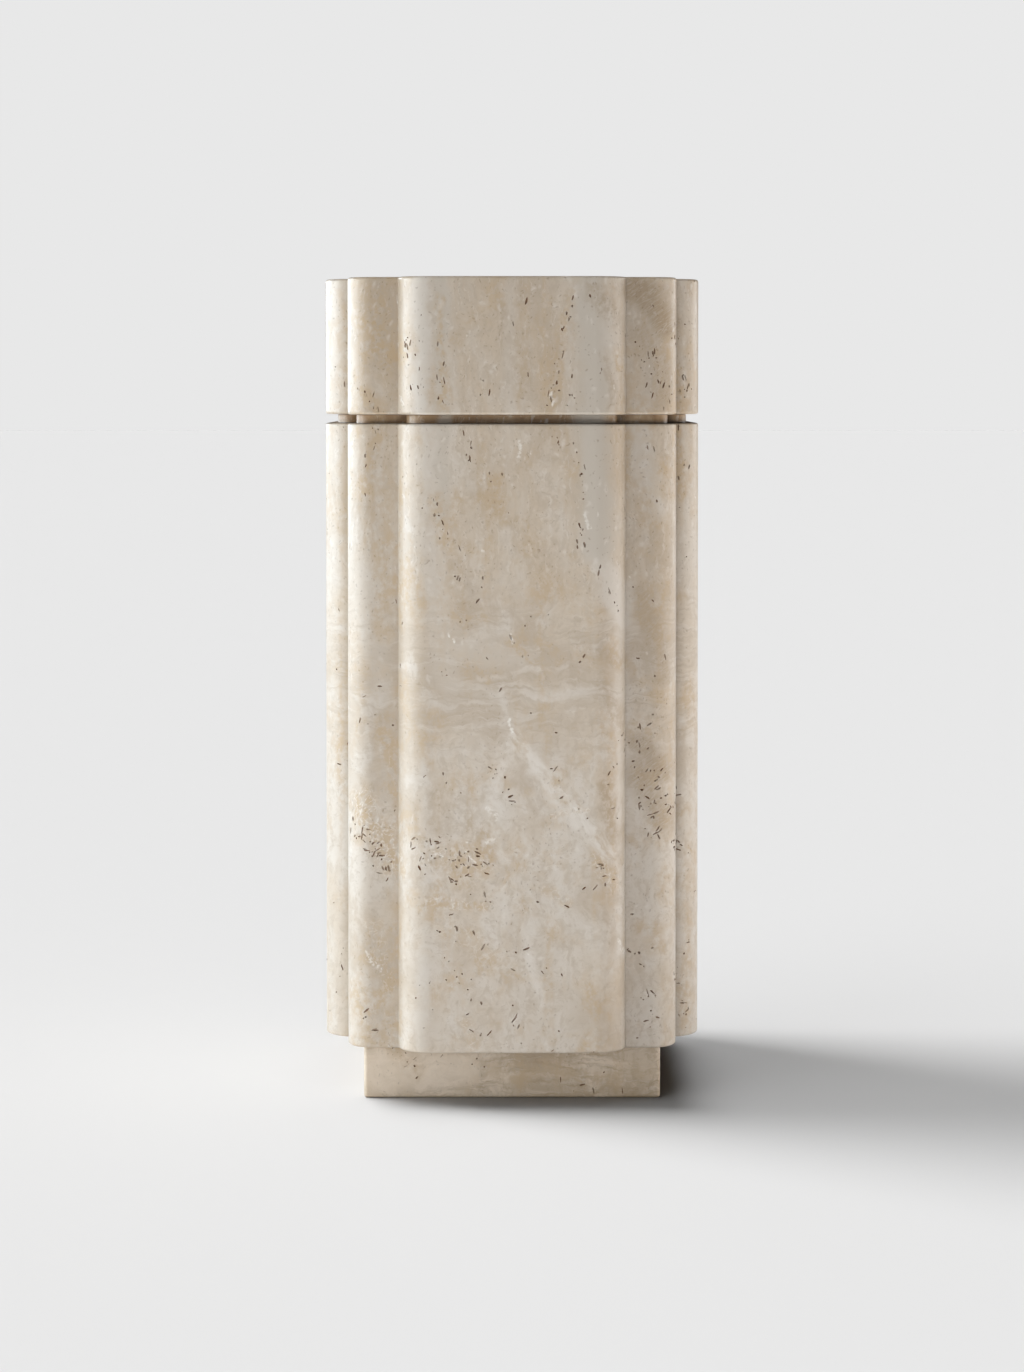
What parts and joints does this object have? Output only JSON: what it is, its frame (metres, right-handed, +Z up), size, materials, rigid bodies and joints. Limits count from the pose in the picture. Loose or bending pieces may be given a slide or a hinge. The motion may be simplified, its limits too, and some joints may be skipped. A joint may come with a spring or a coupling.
{
  "type": "travertine plinth",
  "caption": "Tall travertine plinth: square foot, shaft with stepped and rounded corners, and a matching cap set off by a thin shadow gap.",
  "frame": {"origin": "middle of the foot's underside, on the floor", "axes": "+Z up along the plinth's height, -Y towards the picture's viewer and +X to that viewer's right; all four sides have the same outline"},
  "size_m": [0.3, 0.3, 0.65],
  "materials": {
    "travertine": "satin",
    "travertine_foot": "satin"
  },
  "bodies": {
    "root": {"foot": "travertine_foot", "shaft": "travertine", "neck": "travertine", "cap": "travertine"}
  },
  "joints": []
}
